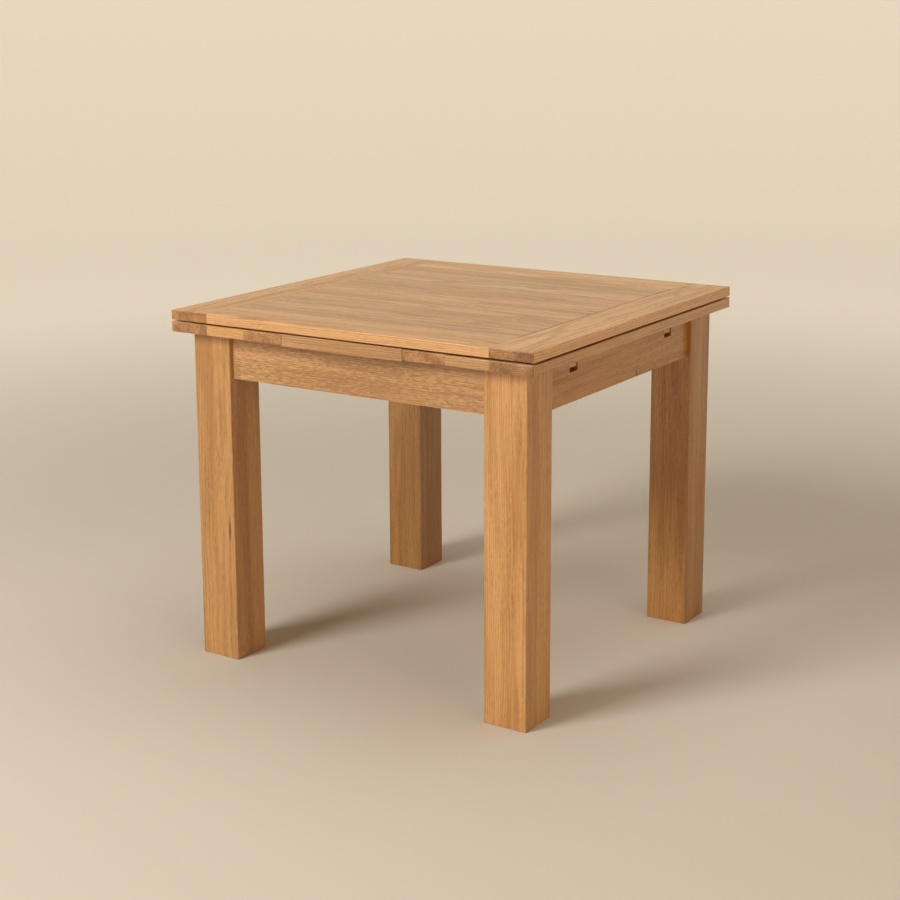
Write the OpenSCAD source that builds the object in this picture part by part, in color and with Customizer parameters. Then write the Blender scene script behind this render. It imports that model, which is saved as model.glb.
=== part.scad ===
// Oak draw-leaf table. Two leaves slide out from under a floating top on runners that pass through
// notches in the side aprons. X is the way the leaves slide, Y the depth, Z up, millimetres,
// with the origin on the floor under the middle of the table.

/* [Table] */
// Width of the closed table, the way the leaves slide
table_w = 900; // [780:10:1200]
// Depth of the table
table_d = 900; // [780:10:1200]
// Height of the table
table_h = 780; // [700:5:950]
// Overhang of the top past the legs
overhang = 34; // [15:1:60]
// Radius of the upright corners of the top and the leaves
corner_r = 5; // [2:0.5:10]
// Radius of the eased long edges of the top and the leaves
edge_r = 2.5; // [1:0.5:5]

/* [Boards] */
// Thickness of the floating top
top_t = 21; // [18:1:30]
// Thickness of the leaves
leaf_t = 22; // [18:1:30]
// Width of a leaf, and how far it slides out
leaf_w = 300; // [260:5:340]
// Width of the frame boards around the top and the leaves
board_w = 100; // [80:1:120]
// Shadow gap between the top and the leaves
top_gap = 4; // [2:0.5:6]
// Clearance between the leaves and the frame under them
leaf_clear = 3; // [1:0.5:5]
// Gap between a leaf and the fixed centre board
leaf_gap = 1; // [0.5:0.5:3]
// Height of the rubber buffers that the top rests on
buffer_h = 2.8; // [2:0.1:4]
// Diameter of the rubber buffers
buffer_d = 20; // [12:1:30]
// Open joint between the top's planks and its right stile
plank_gap = 2; // [0.5:0.5:3]
// Thickness of the tongues at the ends of the planks and rails
tongue_t = 7; // [5:0.5:8]
// Length of the tongues
tongue_l = 10; // [6:1:16]

/* [Frame] */
// Width of a square leg
leg_w = 98; // [70:1:120]
// Radius of the leg's upright edges
leg_r = 2.5; // [1:0.5:6]
// Thickness of the aprons
apron_t = 22; // [18:1:30]
// Height of the aprons
apron_h = 95; // [90:1:140]
// How far the aprons stand back from the leg's face
apron_set = 10; // [4:1:20]
// Thickness of the rail across the middle of the frame
rail_t = 22; // [18:1:30]
// Height of the rail across the middle of the frame
rail_h = 75; // [60:1:85]

/* [Runners] */
// Width of a runner
runner_w = 28; // [22:1:32]
// Depth of a runner under the leaf
runner_h = 36; // [32:0.5:44]
// Depth of a runner at its thinned nose
nose_h = 27; // [20:1:30]
// How far a runner's nose stands back from the apron's face
nose_set = 1.5; // [0:0.5:10]
// Distance from the middle of the table to the right leaf's runners
right_runner_y = 215; // [208:1:230]
// Distance from the middle of the table to the left leaf's runners
left_runner_y = 170; // [150:1:170]
// Clearance on each side of a runner in its notch
runner_clear = 2.5; // [0.5:0.5:3]
// Running gap above and below a runner
run_gap = 0.5; // [0.3:0.1:1]
// Diameter of a runner's stop peg
stop_d = 10; // [8:1:12]

/* [Guide pegs] */
// Diameter of the pegs that guide the floating top
guide_d = 22; // [16:1:30]
// Distance from the middle of the table to a guide peg
guide_x = 60; // [50:1:90]
// Clearance around a guide peg in the centre board
guide_clear = 0.5; // [0.3:0.1:1]
// How far a guide peg reaches below the top
guide_l = 45; // [40:1:70]

/* [Fastenings] */
// Diameter of the hanger bolt that draws a leg into its corner
bolt_d = 8; // [6:1:10]
// Diameter of the dowels
dowel_d = 10; // [8:1:12]
// Length of the dowels
dowel_l = 36; // [24:2:40]
// Diameter of the screws
screw_d = 4.5; // [3.5:0.5:5]
// Thickness of the corner blocks
block_t = 25; // [20:1:32]
// Height of the corner blocks
block_h = 48; // [40:1:50]
// Width of the flat on a leg's inner edge, where its corner block seats
seat_w = 14; // [8:1:20]

/* [Hidden] */
$fn = 48;

OAK_TOP = [0.80, 0.63, 0.45];
OAK_LEG = [0.78, 0.57, 0.37];
OAK_APRON = [0.74, 0.53, 0.33];
OAK_END = [0.70, 0.50, 0.36];
OAK_INSIDE = [0.80, 0.66, 0.47];
STEEL = [0.66, 0.67, 0.68];
RUBBER = [0.16, 0.15, 0.14];

half_w = table_w / 2;
half_d = table_d / 2;
top_z = table_h - top_t;
leaf_z = top_z - top_gap - leaf_t;
frame_z = leaf_z - leaf_clear;

leg_out_x = half_w - overhang;
leg_out_y = half_d - overhang;
leg_in_x = leg_out_x - leg_w;
leg_in_y = leg_out_y - leg_w;
apron_in_x = leg_out_x - apron_set - apron_t;
apron_in_y = leg_out_y - apron_set - apron_t;
apron_z = frame_z - apron_h;
foot_chamfer = 2;

plank_count = 7;
panel_x = half_w - board_w;
panel_y = half_d - board_w;
groove_stop = 20;
groove_relief = 1;

leaf_x = half_w - leaf_w + leaf_gap;
leaf_panel_in = leaf_x + board_w;
centre_x = half_w - leaf_w;
rest_gap = 0.2;
centre_t = top_z - rest_gap - buffer_h - frame_z;
buffer_x = 0.8 * centre_x;
buffer_y = 0.85 * panel_y;
buffer_ease = 0.8;

draw = leaf_w;
notch_w = runner_w + 2 * runner_clear;
notch_z = leaf_z - runner_h - run_gap;
runner_z = leaf_z - runner_h;
nose_z = leaf_z - nose_h;
nose_l = 20;
nose_ramp = 14;
nose_x = apron_in_x + apron_t - nose_set;
tail_clear = 44;
tail_x = apron_in_x - tail_clear;
stop_gap = 0.5;
stop_x = apron_in_x - draw - stop_gap - stop_d / 2;
stop_drop = 12;
stop_depth = 20;
guide_depth = 13;

block_z = apron_z + 2;
block_face = leg_in_x + leg_in_y + seat_w / sqrt(2);
bolt_z = block_z + block_h / 2;
bolt_in_leg = 45;
bolt_out = 12;
washer_d = bolt_d * 2.5;
washer_t = 1.6;
nut_af = bolt_d * 1.625;
nut_h = bolt_d * 0.8;

head_d = screw_d * 2;
head_h = 2.8;
pocket_d = head_d + 1;
pocket_h = 8;
block_screw_l = 28;
block_screw_rise = 14;
block_screw_in = 17;
leaf_bite = 12;
runner_screw_l = runner_h - pocket_h + leaf_bite;
bracket_l = 30;
bracket_w = 24;
bracket_t = 2;
bracket_x = 90;
bracket_screw_l = 16;
bracket_hole = 0.3;

// ---- shapes that repeat ----

// Waste outside a quarter circle of radius r whose square corner is at the origin
module corner_waste(r) {
    difference() {
        translate([-1, -1]) square(r + 1);
        translate([r, r]) circle(r);
    }
}

// Rectangle centred on X and standing on Y = 0, with its four corners eased
module eased_rect(w, h, r_low, r_high) {
    difference() {
        translate([-w / 2, 0]) square([w, h]);
        for (side = [0, 1]) mirror([side, 0]) {
            translate([-w / 2, 0]) corner_waste(r_low);
            translate([-w / 2, h]) mirror([0, 1]) corner_waste(r_high);
        }
    }
}

// Board of w by d by t, centred in plan, with eased upright corners and long edges
module eased_board(w, d, t, r_corner, r_low, r_high) {
    intersection() {
        translate([0, -d / 2, 0]) linear_extrude(t) eased_rect(w, d, r_corner, r_corner);
        translate([0, d / 2, 0]) rotate([90, 0, 0])
            linear_extrude(d) eased_rect(w, t, r_low, r_high);
        translate([-w / 2, 0, 0]) rotate([90, 0, 90])
            linear_extrude(w) eased_rect(d, t, r_low, r_high);
    }
}

// Box between two opposite corners
module box(low, high) {
    translate(low) cube(high - low);
}

// Copy of a corner of the table in the quarter that sx and sy name
module quarter(sx, sy) {
    mirror([sx < 0 ? 1 : 0, 0, 0]) mirror([0, sy < 0 ? 1 : 0, 0]) children();
}

module all_quarters() {
    for (sx = [-1, 1], sy = [-1, 1]) quarter(sx, sy) children();
}

// Round bar along X, Y or Z from a start point
module bar_x(start, l, d) {
    translate(start) rotate([0, 90, 0]) cylinder(h = l, d = d);
}

module bar_y(start, l, d) {
    translate(start) rotate([-90, 0, 0]) cylinder(h = l, d = d);
}

// Wood screw with its seat at the origin and its point up Z, with a cross recess
module screw(l) {
    tip = screw_d;
    recess = head_d * 0.55;
    difference() {
        union() {
            translate([0, 0, -head_h]) cylinder(h = head_h, d1 = head_d * 0.8, d2 = head_d);
            cylinder(h = l - tip, d = screw_d);
            translate([0, 0, l - tip]) cylinder(h = tip, d1 = screw_d, d2 = 0.6);
        }
        for (turn = [0, 90]) rotate(turn)
            translate([-recess / 2, -0.5, -head_h - 1]) cube([recess, 1, 2.6]);
    }
}

// The hole that a screw leaves, with a pocket behind its seat
module screw_hole(l, pocket) {
    translate([0, 0, -pocket]) cylinder(h = pocket, d = pocket_d);
    cylinder(h = l - screw_d, d = screw_d);
    translate([0, 0, l - screw_d]) cylinder(h = screw_d, d1 = screw_d, d2 = 0.6);
}

// ---- frame ----

// The four dowels of the right back corner, two into each apron
module corner_dowels() {
    for (z = [apron_z + apron_h * 0.3, apron_z + apron_h * 0.72]) {
        bar_x([leg_in_x - dowel_l / 2, apron_in_y + apron_t / 2, z], dowel_l, dowel_d);
        bar_y([apron_in_x + apron_t / 2, leg_in_y - dowel_l / 2, z - dowel_d], dowel_l, dowel_d);
    }
}

// Hanger bolt of the right back corner, grown by extra for its clearance hole
module corner_bolt(extra) {
    out = block_t + washer_t + nut_h + bolt_out;
    on_bolt(out) cylinder(h = out + bolt_in_leg, d = bolt_d + extra);
}

// Along the bolt of the right back corner, at a distance in from the block's outer face
module on_bolt(behind) {
    translate([leg_in_x, leg_in_y, bolt_z]) rotate([0, 90, 45])
        translate([0, 0, seat_w / 2 - behind]) children();
}

module leg() {
    difference() {
        translate([leg_in_x + leg_w / 2, leg_in_y + leg_w / 2, 0]) intersection() {
            eased_board(leg_w, leg_w, frame_z + 20, leg_r, foot_chamfer, 1);
            translate([0, 0, frame_z / 2]) cube([leg_w + 2, leg_w + 2, frame_z], center = true);
        }
        translate([0, 0, apron_z]) linear_extrude(apron_h + 1)
            polygon([[0, 0], [block_face, 0], [0, block_face]]);
        corner_dowels();
        corner_bolt(0);
    }
}

module leg_front_left() { color(OAK_LEG) quarter(-1, -1) leg(); }
module leg_front_right() { color(OAK_LEG) quarter(1, -1) leg(); }
module leg_back_left() { color(OAK_LEG) quarter(-1, 1) leg(); }
module leg_back_right() { color(OAK_LEG) quarter(1, 1) leg(); }

// Corner block: a diagonal board from the back apron to the right apron
module corner_block() {
    back = block_face - block_t * sqrt(2);
    difference() {
        translate([0, 0, block_z]) linear_extrude(block_h) polygon([
            [apron_in_x, block_face - apron_in_x], [block_face - apron_in_y, apron_in_y],
            [back - apron_in_y, apron_in_y], [apron_in_x, back - apron_in_x]]);
        corner_bolt(1);
        corner_screws() screw_hole(block_screw_l, 40);
    }
}

// Places of the four screws of the right back corner block
module corner_screws() {
    seat = block_screw_l - apron_t * 0.6;
    mid_x = block_face - apron_in_y - block_screw_in;
    mid_y = block_face - apron_in_x - block_screw_in;
    for (z = [bolt_z - block_screw_rise, bolt_z + block_screw_rise]) {
        translate([apron_in_x - seat, mid_y, z]) rotate([0, 90, 0]) children();
        translate([mid_x, apron_in_y - seat, z]) rotate([-90, 0, 0]) children();
    }
}

module corner_block_front_left() { color(OAK_INSIDE) quarter(-1, -1) corner_block(); }
module corner_block_front_right() { color(OAK_INSIDE) quarter(1, -1) corner_block(); }
module corner_block_back_left() { color(OAK_INSIDE) quarter(-1, 1) corner_block(); }
module corner_block_back_right() { color(OAK_INSIDE) quarter(1, 1) corner_block(); }

module leg_bolts() { color(STEEL) all_quarters() corner_bolt(0); }

module leg_washers() {
    color(STEEL) all_quarters() on_bolt(block_t + washer_t) difference() {
        cylinder(h = washer_t, d = washer_d);
        translate([0, 0, -1]) cylinder(h = washer_t + 2, d = bolt_d + 0.4);
    }
}

module leg_nuts() {
    color(STEEL) all_quarters() on_bolt(block_t + washer_t + nut_h) difference() {
        cylinder(h = nut_h, d = nut_af / cos(30), $fn = 6);
        translate([0, 0, -1]) cylinder(h = nut_h + 2, d = bolt_d);
    }
}

module corner_block_screws() {
    color(STEEL) all_quarters() corner_screws() screw(block_screw_l);
}

module apron_dowels() { color(OAK_INSIDE) all_quarters() corner_dowels(); }

// The two dowels at the back end of the cross rail
module rail_end_dowels() {
    in_apron = apron_t * 0.55;
    for (z = [frame_z - rail_h * 0.78, frame_z - rail_h * 0.3])
        bar_y([0, apron_in_y + in_apron - dowel_l, z], dowel_l, dowel_d);
}

module cross_rail_dowels() {
    color(OAK_INSIDE) for (sy = [-1, 1]) quarter(1, sy) rail_end_dowels();
}

// Notch for one runner, through everything at x between x0 and x1, open at the top
module runner_notch(x0, x1, y) {
    box([x0 - 1, y - notch_w / 2, notch_z], [x1 + 1, y + notch_w / 2, frame_z + 1]);
}

module apron_back_blank() {
    difference() {
        box([-leg_in_x, apron_in_y, apron_z], [leg_in_x, apron_in_y + apron_t, frame_z]);
        all_quarters() {
            corner_dowels();
            corner_screws() screw_hole(block_screw_l, 0.1);
        }
        rail_end_dowels();
        for (sx = [-1, 1]) quarter(sx, 1) apron_bracket_screw() screw_hole(bracket_screw_l, 0.1);
    }
}

// Right apron with the notches that the runners at a distance y from the middle need
module apron_side_blank(y) {
    difference() {
        box([apron_in_x, -leg_in_y, apron_z], [apron_in_x + apron_t, leg_in_y, frame_z]);
        for (side = [-1, 1]) runner_notch(apron_in_x, apron_in_x + apron_t, side * y);
        for (sy = [-1, 1]) quarter(1, sy) {
            corner_dowels();
            corner_screws() screw_hole(block_screw_l, 0.1);
        }
    }
}

module apron_front() { color(OAK_APRON) quarter(1, -1) apron_back_blank(); }
module apron_back() { color(OAK_APRON) apron_back_blank(); }
module apron_left() { color(OAK_APRON) quarter(-1, 1) apron_side_blank(left_runner_y); }
module apron_right() { color(OAK_APRON) apron_side_blank(right_runner_y); }

module cross_rail() {
    color(OAK_INSIDE) difference() {
        box([-rail_t / 2, -apron_in_y, frame_z - rail_h], [rail_t / 2, apron_in_y, frame_z]);
        for (y = [left_runner_y, right_runner_y], side = [-1, 1])
            runner_notch(-rail_t / 2, rail_t / 2, side * y);
        for (sy = [-1, 1]) quarter(1, sy) rail_end_dowels();
    }
}

// ---- fixed centre board ----

// Slice of the centre board between two depths
module centre_slice(y0, y1) {
    intersection() {
        translate([0, 0, frame_z]) eased_board(2 * centre_x, table_d, centre_t, 0.5, 1, 1);
        box([-half_w, y0, frame_z - 1], [half_w, y1, table_h]);
    }
}

// Places of the bracket's two screws, for the bracket near the back apron on the right
module apron_bracket_screw() {
    translate([bracket_x, apron_in_y - bracket_t, frame_z - bracket_l * 0.6])
        rotate([-90, 0, 0]) children();
}

module board_bracket_screw() {
    translate([bracket_x, apron_in_y - bracket_l * 0.6, frame_z - bracket_t]) children();
}

module centre_board_back_rail_blank() {
    difference() {
        centre_slice(panel_y, half_d);
        for (sx = [-1, 1]) quarter(sx, 1) board_bracket_screw() screw_hole(bracket_screw_l, 0.1);
    }
}

module centre_board_back_rail() { color(OAK_TOP) centre_board_back_rail_blank(); }
module centre_board_front_rail() { color(OAK_TOP) quarter(1, -1) centre_board_back_rail_blank(); }

module centre_board_panel() {
    color(OAK_TOP) difference() {
        centre_slice(-panel_y, panel_y);
        for (side = [-1, 1]) translate([side * guide_x, 0, frame_z - 1])
            cylinder(h = centre_t + 2, d = guide_d + 2 * guide_clear);
    }
}

// Rubber buffers on the centre board, which the top rests on
module top_buffers() {
    color(RUBBER) for (x = [-buffer_x, buffer_x], y = [-buffer_y, 0, buffer_y])
        translate([x, y, frame_z + centre_t]) {
            cylinder(h = buffer_h - buffer_ease, d = buffer_d);
            translate([0, 0, buffer_h - buffer_ease])
                cylinder(h = buffer_ease, d1 = buffer_d, d2 = buffer_d - 2 * buffer_ease);
        }
}

module board_brackets() {
    hole = screw_d + 2 * bracket_hole;
    color(STEEL) all_quarters() difference() {
        translate([bracket_x - bracket_w / 2, apron_in_y, frame_z]) rotate([90, 0, 90])
            linear_extrude(bracket_w) polygon([[0, 0], [0, -bracket_l], [-bracket_t, -bracket_l],
                [-bracket_t, -bracket_t], [-bracket_l, -bracket_t], [-bracket_l, 0]]);
        apron_bracket_screw() translate([0, 0, -1]) cylinder(h = bracket_t + 2, d = hole);
        board_bracket_screw() translate([0, 0, -1]) cylinder(h = bracket_t + 2, d = hole);
    }
}

module bracket_screws() {
    color(STEEL) all_quarters() {
        apron_bracket_screw() screw(bracket_screw_l);
        board_bracket_screw() screw(bracket_screw_l);
    }
}

// ---- tongued boards, used by the top and by the leaves ----

// Tongue or groove between two points in plan, in the middle of a board at z of thickness t
module tongue(x0, x1, y0, y1, z, t) {
    box([x0, y0, z + (t - tongue_t) / 2], [x1, y1, z + (t + tongue_t) / 2]);
}

// ---- floating top ----

module top_slice(x0, x1, y0, y1) {
    intersection() {
        translate([0, 0, top_z]) eased_board(table_w, table_d, top_t, corner_r, 1, edge_r);
        box([x0, y0, top_z - 1], [x1, y1, table_h + 1]);
    }
}

module top_stile_blank() {
    difference() {
        top_slice(panel_x, half_w, -half_d, half_d);
        tongue(panel_x - 1, panel_x + tongue_l + groove_relief,
            -half_d + groove_stop, half_d - groove_stop, top_z, top_t);
    }
}

module top_left_stile() { color(OAK_TOP) quarter(-1, 1) top_stile_blank(); }
module top_right_stile() { color(OAK_TOP) top_stile_blank(); }

module top_rail_blank() {
    top_slice(-panel_x, panel_x, panel_y, half_d);
    tongue(-panel_x - tongue_l, panel_x + tongue_l,
        panel_y, half_d - groove_stop - 1, top_z, top_t);
}

module top_front_rail() { color(OAK_TOP) quarter(1, -1) top_rail_blank(); }
module top_back_rail() { color(OAK_TOP) top_rail_blank(); }

// Depth of the joint behind plank number i
function plank_y(i) = -panel_y + i * (table_d - 2 * board_w) / plank_count;

// Plank number i, counted from the front
module top_plank(i) {
    front = plank_y(i - 1);
    back = plank_y(i);
    color(OAK_TOP) difference() {
        union() {
            box([-panel_x, front, top_z], [panel_x - plank_gap, back, table_h]);
            tongue(-panel_x - tongue_l, panel_x + tongue_l, front, back, top_z, top_t);
        }
        if (i == (plank_count + 1) / 2) for (side = [-1, 1])
            translate([side * guide_x, 0, top_z - 1]) cylinder(h = guide_depth + 1, d = guide_d);
    }
}

module guide_pegs() {
    color(OAK_INSIDE) for (side = [-1, 1]) translate([side * guide_x, 0, top_z - guide_l]) {
        translate([0, 0, 2]) cylinder(h = guide_l + guide_depth - 2, d = guide_d);
        cylinder(h = 2, d1 = guide_d - 4, d2 = guide_d);
    }
}

// ---- leaves, drawn on the right-hand side ----

module leaf_slice(x0, x1, y0, y1) {
    intersection() {
        translate([half_w - leaf_w, 0, leaf_z])
            eased_board(2 * leaf_w, table_d, leaf_t, corner_r, 1, edge_r);
        box([x0, y0, leaf_z - 1], [x1, y1, top_z]);
    }
}

// Places of the screws that hold a pair of runners to the leaf, with their seats in the runners
module runner_screw_places(y) {
    spots = [leaf_x + board_w / 2, (leaf_panel_in + panel_x) / 2, panel_x + board_w * 0.15];
    for (x = spots, side = [-1, 1]) translate([x, side * y, runner_z + pocket_h]) children();
}

module leaf_outer_stile(y) {
    difference() {
        leaf_slice(panel_x, half_w, -half_d, half_d);
        tongue(panel_x - 1, panel_x + tongue_l + groove_relief,
            -half_d + groove_stop, half_d - groove_stop, leaf_z, leaf_t);
        runner_screw_places(y) screw_hole(runner_screw_l, 0.1);
    }
}

module leaf_inner_stile(y) {
    difference() {
        leaf_slice(leaf_x, leaf_panel_in, -half_d, half_d);
        tongue(leaf_panel_in - tongue_l - groove_relief, leaf_panel_in + 1,
            -half_d + groove_stop, half_d - groove_stop, leaf_z, leaf_t);
        runner_screw_places(y) screw_hole(runner_screw_l, 0.1);
    }
}

module leaf_rail() {
    leaf_slice(leaf_panel_in, panel_x, panel_y, half_d);
    tongue(leaf_panel_in - tongue_l, panel_x + tongue_l,
        panel_y, half_d - groove_stop - 1, leaf_z, leaf_t);
}

module leaf_panel(y) {
    difference() {
        union() {
            box([leaf_panel_in, -panel_y, leaf_z], [panel_x, panel_y, leaf_z + leaf_t]);
            tongue(leaf_panel_in - tongue_l, panel_x + tongue_l,
                -panel_y, panel_y, leaf_z, leaf_t);
        }
        runner_screw_places(y) screw_hole(runner_screw_l, 0.1);
    }
}

// Runner at depth y: full under the leaf, thinned at its nose, lowered under the centre board
module runner(y) {
    low_top = frame_z - run_gap;
    difference() {
        translate([0, y + runner_w / 2, 0]) rotate([90, 0, 0]) linear_extrude(runner_w) polygon([
            [-tail_x, runner_z], [nose_x - nose_l - nose_ramp, runner_z],
            [nose_x - nose_l, nose_z], [nose_x, nose_z], [nose_x, leaf_z],
            [leaf_x, leaf_z], [leaf_x, low_top], [-tail_x, low_top]]);
        translate([stop_x, y, runner_z - 1]) cylinder(h = stop_depth + 1, d = stop_d);
        runner_screw_places(y) screw_hole(runner_screw_l, pocket_h + 1);
    }
}

module leaf_stop_pegs(y) {
    for (side = [-1, 1]) translate([stop_x, side * y, runner_z - stop_drop])
        cylinder(h = stop_drop + stop_depth, d = stop_d);
}

module leaf_screws(y) { runner_screw_places(y) screw(runner_screw_l); }

module right_leaf_outer_stile() { color(OAK_END) leaf_outer_stile(right_runner_y); }
module right_leaf_inner_stile() { color(OAK_END) leaf_inner_stile(right_runner_y); }
module right_leaf_front_rail() { color(OAK_TOP) quarter(1, -1) leaf_rail(); }
module right_leaf_back_rail() { color(OAK_TOP) leaf_rail(); }
module right_leaf_panel() { color(OAK_TOP) leaf_panel(right_runner_y); }
module right_leaf_runner_front() { color(OAK_INSIDE) runner(-right_runner_y); }
module right_leaf_runner_back() { color(OAK_INSIDE) runner(right_runner_y); }
module right_leaf_stop_pegs() { color(OAK_INSIDE) leaf_stop_pegs(right_runner_y); }
module right_leaf_screws() { color(STEEL) leaf_screws(right_runner_y); }

module left_leaf_outer_stile() { color(OAK_END) quarter(-1, 1) leaf_outer_stile(left_runner_y); }
module left_leaf_inner_stile() { color(OAK_END) quarter(-1, 1) leaf_inner_stile(left_runner_y); }
module left_leaf_front_rail() { color(OAK_TOP) quarter(-1, -1) leaf_rail(); }
module left_leaf_back_rail() { color(OAK_TOP) quarter(-1, 1) leaf_rail(); }
module left_leaf_panel() { color(OAK_TOP) quarter(-1, 1) leaf_panel(left_runner_y); }
module left_leaf_runner_front() { color(OAK_INSIDE) quarter(-1, 1) runner(-left_runner_y); }
module left_leaf_runner_back() { color(OAK_INSIDE) quarter(-1, 1) runner(left_runner_y); }
module left_leaf_stop_pegs() { color(OAK_INSIDE) quarter(-1, 1) leaf_stop_pegs(left_runner_y); }
module left_leaf_screws() { color(STEEL) quarter(-1, 1) leaf_screws(left_runner_y); }

leg_front_left();
leg_front_right();
leg_back_left();
leg_back_right();
apron_front();
apron_back();
apron_left();
apron_right();
cross_rail();
corner_block_front_left();
corner_block_front_right();
corner_block_back_left();
corner_block_back_right();
leg_bolts();
leg_washers();
leg_nuts();
corner_block_screws();
apron_dowels();
cross_rail_dowels();
centre_board_front_rail();
centre_board_panel();
centre_board_back_rail();
board_brackets();
bracket_screws();
top_buffers();
top_left_stile();
top_right_stile();
top_front_rail();
top_back_rail();
for (i = [1:plank_count]) top_plank(i);
guide_pegs();
left_leaf_outer_stile();
left_leaf_inner_stile();
left_leaf_front_rail();
left_leaf_back_rail();
left_leaf_panel();
left_leaf_runner_front();
left_leaf_runner_back();
left_leaf_stop_pegs();
left_leaf_screws();
right_leaf_outer_stile();
right_leaf_inner_stile();
right_leaf_front_rail();
right_leaf_back_rail();
right_leaf_panel();
right_leaf_runner_front();
right_leaf_runner_back();
right_leaf_stop_pegs();
right_leaf_screws();
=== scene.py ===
"""The looks of the oak draw-leaf table: lacquered oak on every board, plain wood and zinc-plated
steel inside, a pale floor, soft studio light and the camera."""

import math
import random

import bpy
from mathutils import Matrix, Vector


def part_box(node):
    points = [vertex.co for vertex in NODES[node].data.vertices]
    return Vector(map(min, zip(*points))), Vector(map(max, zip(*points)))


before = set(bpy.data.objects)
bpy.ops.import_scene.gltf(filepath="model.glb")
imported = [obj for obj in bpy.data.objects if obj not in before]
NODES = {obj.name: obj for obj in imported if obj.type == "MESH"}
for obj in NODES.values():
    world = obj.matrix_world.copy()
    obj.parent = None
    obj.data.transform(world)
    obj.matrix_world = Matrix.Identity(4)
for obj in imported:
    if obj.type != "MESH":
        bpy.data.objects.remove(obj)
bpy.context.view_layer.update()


# ---- colours ----

def linear(hex_colour, shade=1.0):
    """A scene-linear colour from an sRGB one such as "#d9a066", made darker or lighter by shade."""
    parts = [int(hex_colour[i:i + 2], 16) / 255 for i in (1, 3, 5)]
    low, gamma, offset = 0.04045, 2.4, 0.055
    light = [c / 12.92 if c <= low else ((c + offset) / (1 + offset)) ** gamma for c in parts]
    return [c * shade for c in light] + [1.0]


# ---- node trees ----

class Tree:
    """A node tree that is written as expressions: each method adds a node and returns its output."""

    def __init__(self, node_tree):
        self.tree = node_tree

    def node(self, kind, values=(), **settings):
        made = self.tree.nodes.new(kind)
        for name, value in settings.items():
            setattr(made, name, value)
        for socket, value in dict(values).items():
            self.put(made.inputs[socket], value)
        return made

    def put(self, socket, value):
        if isinstance(value, bpy.types.NodeSocket):
            self.tree.links.new(value, socket)
        else:
            socket.default_value = value

    def math(self, operation, a, b=0.0, c=0.0):
        return self.node("ShaderNodeMath", {0: a, 1: b, 2: c}, operation=operation).outputs[0]

    def remap(self, value, low, high, to_low=0.0, to_high=1.0, smooth=True):
        kind = "SMOOTHSTEP" if smooth else "LINEAR"
        made = self.node("ShaderNodeMapRange", {0: value, 1: low, 2: high, 3: to_low, 4: to_high},
                         interpolation_type=kind)
        return made.outputs[0]

    def mix(self, factor, a, b):
        made = self.node("ShaderNodeMix", data_type="RGBA")
        for name, value in (("Factor_Float", factor), ("A_Color", a), ("B_Color", b)):
            self.put(next(s for s in made.inputs if s.identifier == name), value)
        return next(s for s in made.outputs if s.identifier == "Result_Color")

    def vector(self, x, y, z):
        return self.node("ShaderNodeCombineXYZ", {0: x, 1: y, 2: z}).outputs[0]

    def noise(self, x, y, z, detail=2.0, roughness=0.5, seed=0.0):
        made = self.node("ShaderNodeTexNoise", {"Vector": self.vector(x, y, z), "W": seed, "Scale": 1.0,
                         "Detail": detail, "Roughness": roughness}, noise_dimensions="4D")
        return made.outputs[0]


def new_material(name):
    material = bpy.data.materials.new(name)
    material.use_nodes = True
    material.node_tree.nodes.clear()
    return material, Tree(material.node_tree)


def finish_material(tree, surface):
    tree.node("ShaderNodeOutputMaterial", {"Surface": surface.outputs[0]})


# ---- oak ----

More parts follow.
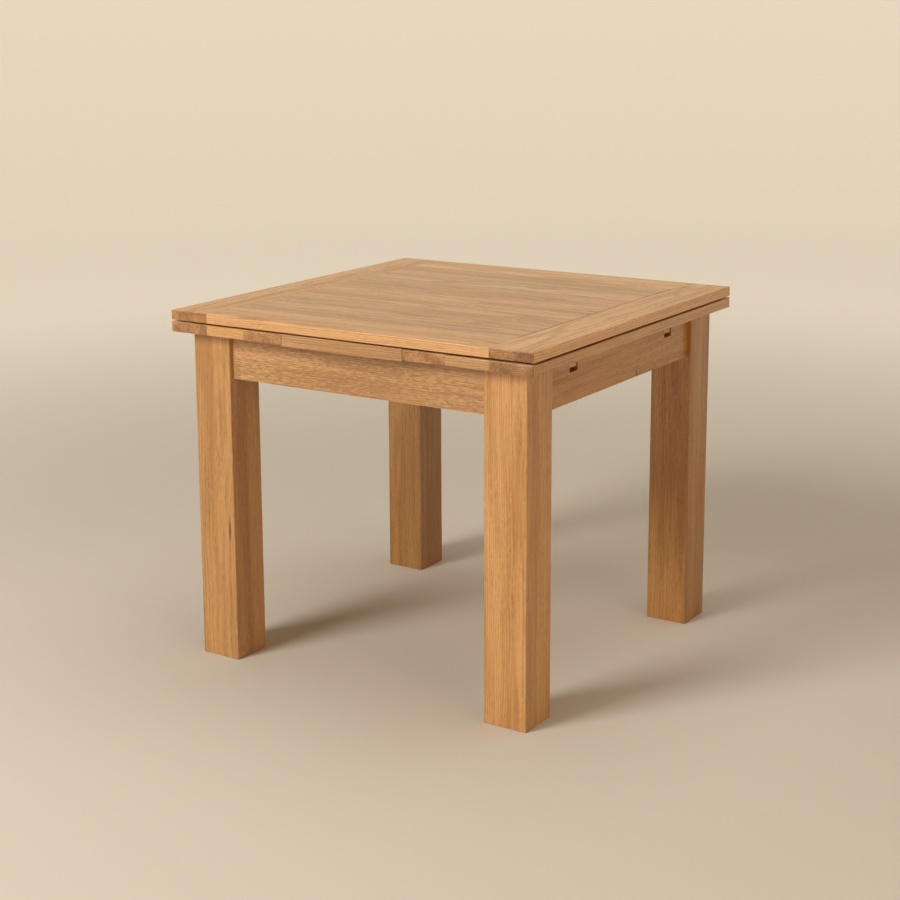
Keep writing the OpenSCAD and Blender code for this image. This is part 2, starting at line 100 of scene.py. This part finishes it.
def oak_group():
    """Solid oak. Along runs with the grain, Across over the board's face and Deep through it, in
    metres, measured from the heart of the tree, so that faces show cathedrals and ends show rings."""
    group = bpy.data.node_groups.new("oak", "ShaderNodeTree")
    sockets = [("Along", 0.0), ("Across", 0.0), ("Deep", 0.0), ("End", 0.0), ("Seed", 0.0),
               ("Ring", 0.0045), ("Curl", 0.3)]
    for name, default in sockets:
        made = group.interface.new_socket(name, in_out="INPUT", socket_type="NodeSocketFloat")
        made.default_value = default
    for name in ("Early", "Tone", "Pore", "Ray"):
        group.interface.new_socket(name, in_out="OUTPUT", socket_type="NodeSocketFloat")
    t = Tree(group)
    inp = t.node("NodeGroupInput").outputs
    along, across, deep, end, seed, ring, curl = [inp[name] for name, _ in sockets]

    def stretched(per_m_along, per_m_across, detail=2.0, roughness=0.5, shift=0.0):
        """Noise about zero, with so many lumps a metre along the grain and across it."""
        value = t.noise(t.math("MULTIPLY_ADD", along, per_m_along, shift),
                        t.math("MULTIPLY", across, per_m_across),
                        t.math("MULTIPLY", deep, per_m_across), detail, roughness, seed)
        return t.math("SUBTRACT", value, 0.5)

    def add(value, factor, base):
        return t.math("MULTIPLY_ADD", value, factor, base)

    # the heart wanders slowly along the board, and the rings wave and ripple
    wander, wave, ripple = 0.034, 0.0080, 0.0050
    y = add(stretched(2.2, 0.0, 1.0), wander, across)
    z = add(stretched(1.7, 0.0, 1.0, shift=3.0), wander, deep)
    radius = t.math("SQRT", t.math("ADD", t.math("MULTIPLY", y, y), t.math("MULTIPLY", z, z)))
    radius = add(stretched(8.0, 40.0, 3.0, 0.55), wave, radius)
    curled = stretched(30.0, 110.0, 2.0, 0.55, shift=7.0)
    radius = add(t.math("MULTIPLY", curled, curl), ripple, radius)
    years = t.math("DIVIDE", radius, ring)
    year = t.math("FRACT", years)
    # a year starts with a sharp dark line of early wood, which fades out; some years are stronger
    early = t.math("MULTIPLY", t.remap(year, 0.0, 0.14), t.remap(year, 0.72, 0.24))
    strength = t.noise(t.math("FLOOR", years), 0.0, 0.0, 0.0, 0.5, seed)
    early = t.math("MULTIPLY", early, t.remap(strength, 0.25, 0.7, 0.3, 1.0))

    # broad colour, streaks, fibres and the short curls of figured wood
    patch = t.remap(stretched(5.0, 9.0, 1.0, shift=11.0), -0.10, 0.10, 0.35, 1.0)
    figure = t.math("MULTIPLY", t.math("MULTIPLY", stretched(62.0, 260.0, 2.0, 0.6), patch), curl)
    streak_weight, fibre_weight, figure_weight = 0.55, 0.60, 1.3
    tone = add(stretched(3.2, 95.0, 2.0, 0.55), streak_weight, stretched(1.8, 22.0, 2.0, 0.5))
    tone = add(stretched(10.0, 380.0, 3.0, 0.6), fibre_weight, tone)
    tone = add(figure, figure_weight, tone)

    # open pores, long thin dashes mostly in the early wood, and bright silver rays
    pore = t.math("MULTIPLY", t.remap(stretched(55.0, 1500.0, 1.0), 0.05, 0.18),
                  t.remap(early, 0.1, 0.6, 0.3, 1.0))
    ray = t.remap(stretched(85.0, 300.0, 2.0, 0.55, shift=5.0), 0.08, 0.22)
    ray = t.math("MULTIPLY", t.math("MULTIPLY", ray, patch), t.math("SUBTRACT", 1.0, end))
    t.node("NodeGroupOutput", {"Early": early, "Tone": tone, "Pore": pore, "Ray": ray})
    return group


def knot_mask(t, local, knot):
    """How much of a knot's colour shows: most in its middle, none outside its reach."""
    where, reach = knot
    apart = [t.math("DIVIDE", t.math("SUBTRACT", value, at), far)
             for value, at, far in zip(local, where, reach)]
    away = t.node("ShaderNodeVectorMath", {0: t.vector(*apart)}, operation="LENGTH").outputs["Value"]
    return t.remap(away, 1.0, 0.3, 0.0, KNOT_DEPTH)


OAK = oak_group()
RING_LINE, PORE, SILVER, KNOT = "#8d5c30", "#63401f", "#ecd0a2", "#5a3216"
END_LINE, PORE_DEPTH, KNOT_DEPTH = 0.85, 0.55, 0.85
TONE_REACH = 0.17


def oak(name, grain, centre, heart, pale, dark, end_pale, end_dark, seed,
        ring=0.0045, line=0.42, curl=0.3, fleck=0.25, shade=1.0, rough=0.42, lacquer=0.35, knot=None):
    """A board's material. grain is its long axis, centre its middle, and heart how far the middle of
    the tree lies from there, across and through the board. knot is a small dark mark: how far it lies
    from the board's middle along, across and through it, and its reach each way."""
    material, t = new_material(name)
    coords = t.node("ShaderNodeTexCoord")
    place = t.node("ShaderNodeSeparateXYZ", {0: coords.outputs["Object"]}).outputs
    normal = t.node("ShaderNodeSeparateXYZ", {0: coords.outputs["Normal"]}).outputs
    order = {"x": (0, 1, 2), "y": (1, 0, 2), "z": (2, 0, 1)}[grain]
    shift = (seed * 1.37, -heart[0], -heart[1])
    local = [t.math("SUBTRACT", place[axis], centre[axis]) for axis in order]
    spots = [t.math("ADD", value, moved) for value, moved in zip(local, shift)]
    end = t.remap(t.math("ABSOLUTE", normal[order[0]]), 0.6, 0.8)
    wood = t.node("ShaderNodeGroup", node_tree=OAK)
    for socket, value in (("Along", spots[0]), ("Across", spots[1]), ("Deep", spots[2]), ("End", end),
                          ("Seed", seed), ("Ring", ring), ("Curl", curl)):
        t.put(wood.inputs[socket], value)
    early, tone, pore, ray = [wood.outputs[n] for n in ("Early", "Tone", "Pore", "Ray")]

    def shaded(hex_colour):
        return linear(hex_colour, shade=shade)

    level = t.remap(tone, -TONE_REACH, TONE_REACH, smooth=False)
    base = t.mix(level, shaded(dark), shaded(pale))
    base = t.mix(end, base, t.mix(level, shaded(end_dark), shaded(end_pale)))
    lines = t.math("MULTIPLY", early, t.remap(end, 0.0, 1.0, line, END_LINE, smooth=False))
    base = t.mix(lines, base, shaded(RING_LINE))
    base = t.mix(t.math("MULTIPLY", pore, PORE_DEPTH), base, shaded(PORE))
    base = t.mix(t.math("MULTIPLY", ray, fleck), base, shaded(SILVER))
    if knot:
        base = t.mix(knot_mask(t, local, knot), base, linear(KNOT))

    roughness = t.math("MULTIPLY_ADD", tone, -0.15, rough)
    roughness = t.math("MULTIPLY_ADD", pore, 0.20, roughness)
    height = t.math("MULTIPLY_ADD", early, -0.3, t.math("MULTIPLY", pore, -1.0))
    bump = t.node("ShaderNodeBump", {"Height": height, "Strength": 0.18, "Distance": 0.0003})
    surface = t.node("ShaderNodeBsdfPrincipled", {"Base Color": base, "Roughness": roughness,
                     "Normal": bump.outputs[0]})
    surface.inputs["Coat Weight"].default_value = lacquer
    surface.inputs["Coat Roughness"].default_value = 0.24
    surface.inputs["IOR"].default_value = 1.48
    finish_material(t, surface)
    return material


# ---- rubber and steel ----

def lumps(t, per_metre, detail):
    """Even noise over an object, with so many lumps a metre."""
    place = t.node("ShaderNodeSeparateXYZ", {0: t.node("ShaderNodeTexCoord").outputs["Object"]}).outputs
    return t.noise(*[t.math("MULTIPLY", p, per_metre) for p in place], detail, 0.6)


def rubber(name):
    """Matt black rubber with a fine grit."""
    material, t = new_material(name)
    grit = lumps(t, 900.0, 2.0)
    colour = t.mix(grit, linear("#1b1a18"), linear("#2c2a27"))
    surface = t.node("ShaderNodeBsdfPrincipled", {"Base Color": colour,
                     "Roughness": t.remap(grit, 0.2, 0.8, 0.6, 0.85)})
    finish_material(t, surface)
    return material


def zinc_steel(name):
    """Bright plated steel with a cloudy sheen."""
    material, t = new_material(name)
    cloud = lumps(t, 180.0, 3.0)
    colour = t.mix(cloud, linear("#9a9c9c"), linear("#c6c6c0"))
    surface = t.node("ShaderNodeBsdfPrincipled", {"Base Color": colour,
                     "Roughness": t.remap(cloud, 0.2, 0.8, 0.28, 0.46)})
    surface.inputs["Metallic"].default_value = 1.0
    finish_material(t, surface)
    return material


# ---- which board is which ----

def middle(node):
    """The middle of a CAD node's box."""
    low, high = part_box(node)
    return (low + high) / 2


ENDS = dict(end_pale="#b58450", end_dark="#6f4727")
TOP = dict(ENDS, pale="#deae78", dark="#c7945d")
PLANK = dict(ENDS, pale="#d7ab7b", dark="#ba8d5e", ring=0.0055)
LEAF = dict(pale="#dcad76", dark="#c08e55", end_pale="#c4925b", end_dark="#7f5633")
LEG = dict(ENDS, pale="#d3a065", dark="#b58146", curl=0.35, fleck=0.25, line=0.28)
# painted shade: the back legs' oak is darker and more orange, for the shade they stand in under the top
SHADED_BACK_LEG = dict(LEG, pale="#d49d5a", dark="#b77e40")
APRON = dict(ENDS, pale="#dfae76", dark="#b5834e", curl=0.9, fleck=0.35, line=0.40)
# painted shade: the end aprons' oak is darker and more orange than the front apron's, for their faces
# turned away from the key light
SHADED_SIDE_APRON = dict(ENDS, pale="#cf964a", dark="#ab7534", curl=0.4, fleck=0.2, line=0.30)
INSIDE = dict(pale="#d8b483", dark="#bb9160", end_pale="#dcb98e", end_dark="#b98f62", rough=0.62,
              lacquer=0.0)

# Boards with a tone of their own or with painted shade, and the two that show a knot: how far it lies
# from the board's middle along, across and through it, and its reach each way.
BOARDS = {
    "leg_front_left": dict(shade=0.81, knot=((-0.068, 0.036, -0.049), (0.036, 0.004, 0.02))),
    "leg_front_right": dict(shade=0.94),
    # painted shade: the back legs are made darker for the shadow of the top over them
    "leg_back_left": dict(shade=0.62),
    "leg_back_right": dict(shade=0.72),
    "centre_board_front_rail": dict(shade=0.70),
    "apron_front": dict(shade=0.74),
    # painted shade: the right apron is made darker for its face turned away from the key light
    "apron_right": dict(shade=0.80, knot=((0.067, 0.011, -0.040), (0.004, 0.01, 0.014))),
    "right_leaf_front_rail": dict(shade=0.74),
    "right_leaf_outer_stile": dict(shade=0.86),
}

dice = random.Random(41)


def heart_below():
    """Where the heart of a board's tree lies: a little sideways and 50 to 120 mm below it."""
    sideways, near, far = 0.04, 0.05, 0.12
    return (dice.uniform(-sideways, sideways), -dice.uniform(near, far))


def dress(node, grain, look):
    """Gives a CAD board its own oak, a little lighter or darker than the next one."""
    settings = dict(look, shade=dice.uniform(0.93, 1.05))
    settings.update(BOARDS.get(node, {}))
    seed = round(dice.uniform(1.0, 60.0), 3)
    set_material(node, oak("oak_" + node, grain, middle(node), heart_below(), seed=seed, **settings))


def set_material(node, material):
    """Makes material the only one of a CAD node."""
    slots = NODES[node].data.materials
    slots.clear()
    slots.append(material)


def ease_edges(node, width):
    """Takes the sharpness off a board's edges."""
    same_point, sharp_angle = 0.00002, 40
    weld = NODES[node].modifiers.new("weld", "WELD")
    weld.merge_threshold = same_point
    bevel = NODES[node].modifiers.new("ease", "BEVEL")
    bevel.width = width
    bevel.segments = 2
    bevel.limit_method = "ANGLE"
    bevel.angle_limit = math.radians(sharp_angle)
    bevel.harden_normals = True


for end in ("front", "back"):
    for side in ("left", "right"):
        dress(f"corner_block_{end}_{side}", "x", INSIDE)
for side in ("front", "back"):
    dress(f"apron_{side}", "x", APRON)
    dress(f"top_{side}_rail", "x", TOP)
    dress(f"centre_board_{side}_rail", "x", LEAF)
for side in ("left", "right"):
    dress(f"apron_{side}", "y", SHADED_SIDE_APRON)
    dress(f"top_{side}_stile", "y", TOP)
    for place in ("outer", "inner"):
        dress(f"{side}_leaf_{place}_stile", "y", LEAF)
    for place in ("front_rail", "back_rail", "panel"):
        dress(f"{side}_leaf_{place}", "x", LEAF)
    for place in ("front", "back"):
        dress(f"{side}_leaf_runner_{place}", "x", INSIDE)
    dress(f"{side}_leaf_stop_pegs", "z", INSIDE)
dress("centre_board_panel", "x", LEAF)
for side in ("left", "right"):
    dress(f"leg_front_{side}", "z", LEG)
    dress(f"leg_back_{side}", "z", SHADED_BACK_LEG)
for number in range(1, 8):
    dress(f"top_plank_{number}", "x", PLANK)
dress("guide_pegs", "z", INSIDE)
dress("cross_rail", "y", INSIDE)
dress("apron_dowels", "x", INSIDE)
dress("cross_rail_dowels", "y", INSIDE)
set_material("top_buffers", rubber("rubber_buffers"))

SHARP = [f"{side}_leaf_runner_{place}" for side in ("left", "right") for place in ("front", "back")]
SHARP += [f"apron_{side}" for side in ("front", "back", "left", "right")]
SHARP += [f"top_plank_{number}" for number in range(1, 8)]
SHARP += ["cross_rail", "left_leaf_panel", "right_leaf_panel"]
EASE = 0.0006
for node in SHARP:
    ease_edges(node, EASE)

steel = zinc_steel("zinc_plated_steel")
for node in ("leg_bolts", "leg_washers", "leg_nuts", "corner_block_screws", "board_brackets",
             "bracket_screws", "left_leaf_screws", "right_leaf_screws"):
    set_material(node, steel)


# ---- floor and light ----

def bowl_mesh(name):
    """A flat disc that curves up into a low wall all round, as rings of corners from a middle one."""
    flat, curve, wall, turns, steps = 8.0, 3.0, 4.5, 96, 12
    bends = [math.pi / 2 * i / steps for i in range(steps + 1)]
    profile = [(flat + curve * math.sin(b), curve * (1 - math.cos(b))) for b in bends]
    profile.append((flat + curve, wall))
    corners = [(0.0, 0.0, 0.0)]
    for radius, height in profile:
        for i in range(turns):
            angle = 2 * math.pi * i / turns
            corners.append((radius * math.cos(angle), radius * math.sin(angle), height))
    faces = [(0, 1 + i, 1 + (i + 1) % turns) for i in range(turns)]
    for ring in range(len(profile) - 1):
        start = 1 + ring * turns
        for i in range(turns):
            j = (i + 1) % turns
            faces.append((start + i, start + turns + i, start + turns + j, start + j))
    mesh = bpy.data.meshes.new(name)
    mesh.from_pydata(corners, [], faces)
    mesh.polygons.foreach_set("use_smooth", [True] * len(faces))
    return mesh


def floor_material(name):
    """Pale and dull. It glows a little further out, which evens out the background."""
    material, t = new_material(name)
    place = t.node("ShaderNodeTexCoord").outputs["Object"]
    distance = t.node("ShaderNodeVectorMath", {0: place}, operation="LENGTH").outputs["Value"]
    glow_from, glow_full, glow = 0.8, 5.0, 0.55
    surface = t.node("ShaderNodeBsdfPrincipled", {"Base Color": linear("#d4cdc2"),
                     "Emission Color": linear("#f4e7d2"),
                     "Emission Strength": t.remap(distance, glow_from, glow_full, 0.0, glow)})
    surface.inputs["Roughness"].default_value = 0.9
    surface.inputs["Specular IOR Level"].default_value = 0.2
    finish_material(t, surface)
    return material


def make_floor():
    """The floor and its wall in one piece, so that no horizon shows."""
    floor = bpy.data.objects.new("floor", bowl_mesh("floor"))
    bpy.context.scene.collection.objects.link(floor)
    floor.data.materials.append(floor_material("floor"))


def make_light(name, place, target, size, power, colour):
    """A round soft light at place, turned towards target."""
    data = bpy.data.lights.new(name, "AREA")
    data.shape = "DISK"
    data.size = size
    data.energy = power
    data.color = linear(colour)[:3]
    light = bpy.data.objects.new(name, data)
    bpy.context.scene.collection.objects.link(light)
    light.location = place
    light.rotation_euler = (Vector(target) - Vector(place)).to_track_quat("-Z", "Y").to_euler()


def make_world():
    """A faint warm light from all sides."""
    world = bpy.data.worlds.new("studio")
    bpy.context.scene.world = world
    world.use_nodes = True
    background = world.node_tree.nodes["Background"]
    background.inputs["Color"].default_value = linear("#f4d4a4")
    background.inputs["Strength"].default_value = 0.12


make_floor()
make_world()
make_light("key", (-1.5, -4.2, 3.1), (0, 0, 0.6), 2.0, 188, "#fff9f1")
make_light("overhead", (0.3, 0.4, 3.6), (0, 0, 0.7), 3.0, 47, "#fffaf3")
make_light("fill", (4.2, -2.2, 2.2), (0, 0, 0.5), 2.0, 29, "#ffc27d")


# ---- camera ----

def make_camera():
    """The view from the front right corner, from a little above the top."""
    place = (2.047, -3.237, 1.428)
    turn, pitch, roll = math.radians(33.76), math.radians(-11.36), math.radians(-0.46)
    data = bpy.data.cameras.new("camera")
    data.sensor_width = 36
    data.lens = 69.93
    data.shift_x = 0.0377
    data.shift_y = -0.1094
    camera = bpy.data.objects.new("camera", data)
    bpy.context.scene.collection.objects.link(camera)
    aim = (Matrix.Rotation(turn, 4, "Z") @ Matrix.Rotation(math.pi / 2 + pitch, 4, "X")
           @ Matrix.Rotation(roll, 4, "Z"))
    camera.matrix_world = Matrix.Translation(place) @ aim
    bpy.context.scene.camera = camera


make_camera()
bpy.context.scene.view_settings.view_transform = "Standard"
